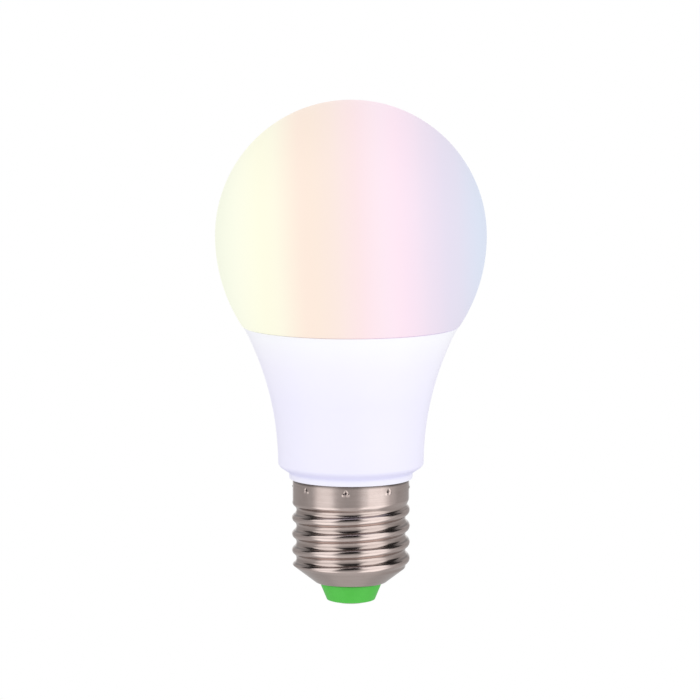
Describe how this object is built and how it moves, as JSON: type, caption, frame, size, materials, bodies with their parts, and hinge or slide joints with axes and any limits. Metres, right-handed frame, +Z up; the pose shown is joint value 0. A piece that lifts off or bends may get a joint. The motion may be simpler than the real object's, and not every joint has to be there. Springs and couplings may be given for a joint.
{
  "type": "smart light bulb",
  "caption": "Colour-changing smart light bulb: opal globe on a flared white housing with a nickel screw cap, green insulator and end contact.",
  "frame": {"origin": "middle of the centre contact's face, on the bulb's axis, where a lamp holder's spring contact touches", "axes": "+Z up the bulb's axis to the top of the globe; -Y is the side seen in front, and the driver board inside faces -Y and +Y"},
  "size_m": [0.06, 0.06, 0.112],
  "materials": {
    "opal_cover": "opal, satin",
    "sealant": "satin",
    "white_housing": "satin",
    "spun_aluminium": "drawn sheet",
    "thermal_pad": "matte",
    "white_board": "white solder mask over metal",
    "zinc_steel": "zinc plated",
    "led_body": "satin",
    "phosphor": "satin",
    "led_window": "clear silicone over three dies",
    "chip_ceramic": "glazed",
    "socket_plastic": "satin",
    "gold_plate": "gold plated",
    "black_plastic": "matte",
    "module_board": "solder mask",
    "tin_plate": "tin plated",
    "chip_resin": "moulded resin",
    "green_board": "solder mask",
    "capacitor_sleeve": "shrink sleeve",
    "bung_rubber": "matte",
    "tinned_wire": "tinned",
    "ferrite": "ground",
    "bobbin_plastic": "moulded",
    "enamelled_copper": "enamelled wire",
    "yellow_tape": "polyester tape",
    "varistor_coating": "dipped epoxy",
    "resistor_coating": "dipped epoxy",
    "solder": "reflowed",
    "black_insulation": "wire insulation",
    "red_insulation": "wire insulation",
    "bare_copper": "stranded, tinned end",
    "nickel_shell": "nickel plated, drawn and rolled",
    "green_insulator": "moulded, satin",
    "contact_metal": "nickel plated"
  },
  "bodies": {
    "root": {"globe": "opal_cover", "globe_sealant": "sealant", "housing": "white_housing", "heat_spreader": "spun_aluminium", "thermal_pad": "thermal_pad", "light_board": "white_board", "light_board_screws": "zinc_steel", "white_led_packages": "led_body", "white_led_phosphors": "phosphor", "colour_led_packages": "led_body", "colour_led_windows": "led_window", "light_board_resistors": "chip_ceramic", "light_board_socket": "socket_plastic", "driver_pins": "gold_plate", "driver_pin_header": "black_plastic", "module_board": "module_board", "module_antenna": "gold_plate", "module_shield_can": "tin_plate", "module_chip": "chip_resin", "module_crystal": "tin_plate", "module_pins": "gold_plate", "module_pin_spacer": "black_plastic", "driver_board": "green_board", "bulk_capacitor": "capacitor_sleeve", "bulk_capacitor_bung": "bung_rubber", "output_capacitor": "capacitor_sleeve", "output_capacitor_bung": "bung_rubber", "capacitor_leads": "tinned_wire", "transformer_core": "ferrite", "transformer_bobbin": "bobbin_plastic", "transformer_winding": "enamelled_copper", "transformer_tape": "yellow_tape", "transformer_pins": "tinned_wire", "choke_core": "ferrite", "choke_winding": "enamelled_copper", "choke_leads": "tinned_wire", "bridge_rectifier": "chip_resin", "driver_chip": "chip_resin", "output_diode": "chip_resin", "driver_resistors": "chip_ceramic", "varistor": "varistor_coating", "varistor_leads": "tinned_wire", "fusible_resistor": "resistor_coating", "fusible_resistor_leads": "tinned_wire", "solder_joints": "solder", "neutral_lead": "black_insulation", "neutral_lead_conductor": "bare_copper", "live_lead": "red_insulation", "live_lead_conductor": "bare_copper", "screw_shell": "nickel_shell", "base_insulator": "green_insulator", "centre_contact": "contact_metal"}
  },
  "joints": []
}
